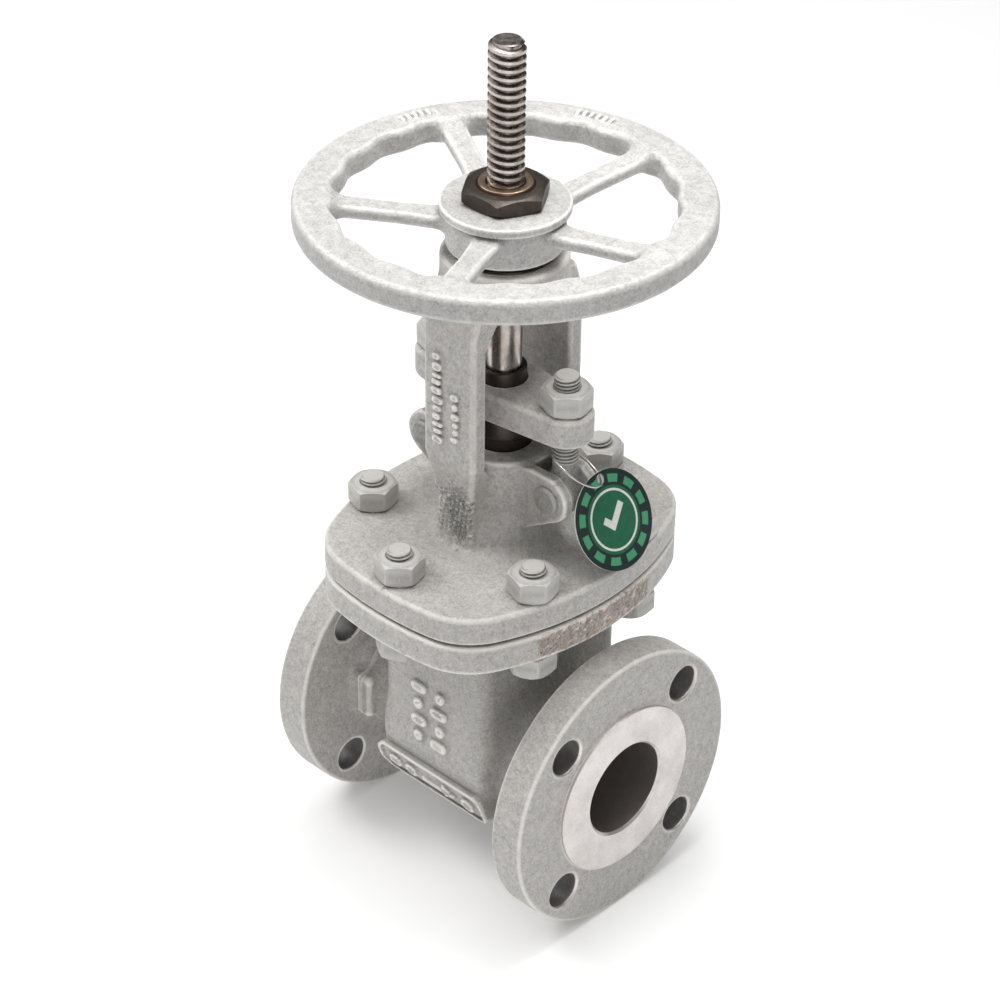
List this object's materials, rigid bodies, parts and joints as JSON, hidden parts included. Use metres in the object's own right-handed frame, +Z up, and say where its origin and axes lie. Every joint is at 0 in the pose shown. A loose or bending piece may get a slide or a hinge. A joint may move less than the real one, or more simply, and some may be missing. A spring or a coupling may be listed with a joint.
{
  "type": "gate valve",
  "caption": "Flanged gate valve with outside screw and yoke, rising stem, bolted oval bonnet, spoked handwheel and hang tag, stored fully open.",
  "frame": {"origin": "where the axis of the flow bore meets the axis of the stem", "axes": "+X along the flow bore towards the outlet flange, +Y across the flow, +Z up along the stem towards the handwheel"},
  "size_m": [0.2, 0.2, 0.4602],
  "materials": {
    "cast_paint": "satin aluminium-grey paint over cast steel",
    "wheel_paint": "satin aluminium-grey paint over a casting",
    "fastener_paint": "painted over with the valve, edges bright",
    "bright_steel": "machined",
    "stem_steel": "turned and polished",
    "dark_steel": "blackened",
    "bronze": "dull bronze",
    "gasket": "graphite sheet",
    "packing": "braided graphite",
    "tag": "printed card, gloss",
    "wire": "drawn wire"
  },
  "bodies": {
    "valve_body": {"body": "cast_paint", "seat_ring_inlet": "bright_steel", "seat_ring_outlet": "bright_steel", "bonnet_gasket": "gasket", "bonnet": "cast_paint", "bonnet_studs": "fastener_paint", "bonnet_nuts_upper": "fastener_paint", "bonnet_nuts_lower": "fastener_paint", "backseat_bushing": "bright_steel", "packing_rings": "packing", "gland_follower": "dark_steel", "gland_flange": "cast_paint", "eyebolts": "fastener_paint", "eyebolt_pins": "fastener_paint", "gland_nuts": "fastener_paint", "thrust_washer_lower": "bright_steel", "thrust_washer_upper": "bright_steel", "yoke_cap": "dark_steel", "tag_ring": "wire"},
    "handwheel_assembly": {"handwheel": "wheel_paint", "handwheel_nut": "dark_steel", "handwheel_key": "bright_steel", "stem_nut": "bronze"},
    "stem_and_wedge": {"stem": "stem_steel", "wedge": "bright_steel"},
    "hang_tag": {"tag_disc": "tag"}
  },
  "joints": [
    {"name": "handwheel_spin", "type": "hinge", "parent": "valve_body", "child": "handwheel_assembly", "pos_m": [0, 0, 0.27], "axis": [0, 0, 1], "range_deg": [-4950, 0]},
    {"name": "stem_slide", "type": "slide", "parent": "valve_body", "child": "stem_and_wedge", "axis": [0, 0, 1], "range_m": [-0.05821, 0]},
    {"name": "tag_swing", "type": "hinge", "parent": "valve_body", "child": "hang_tag", "pos_m": [0.05489, 0.01114, 0.16634], "axis": [0, -1, 0], "range_deg": [0, 25]}
  ],
  "couplings": [
    {"joint": "stem_slide", "follows": "handwheel_spin", "m_per_rad": 0.00067375}
  ]
}
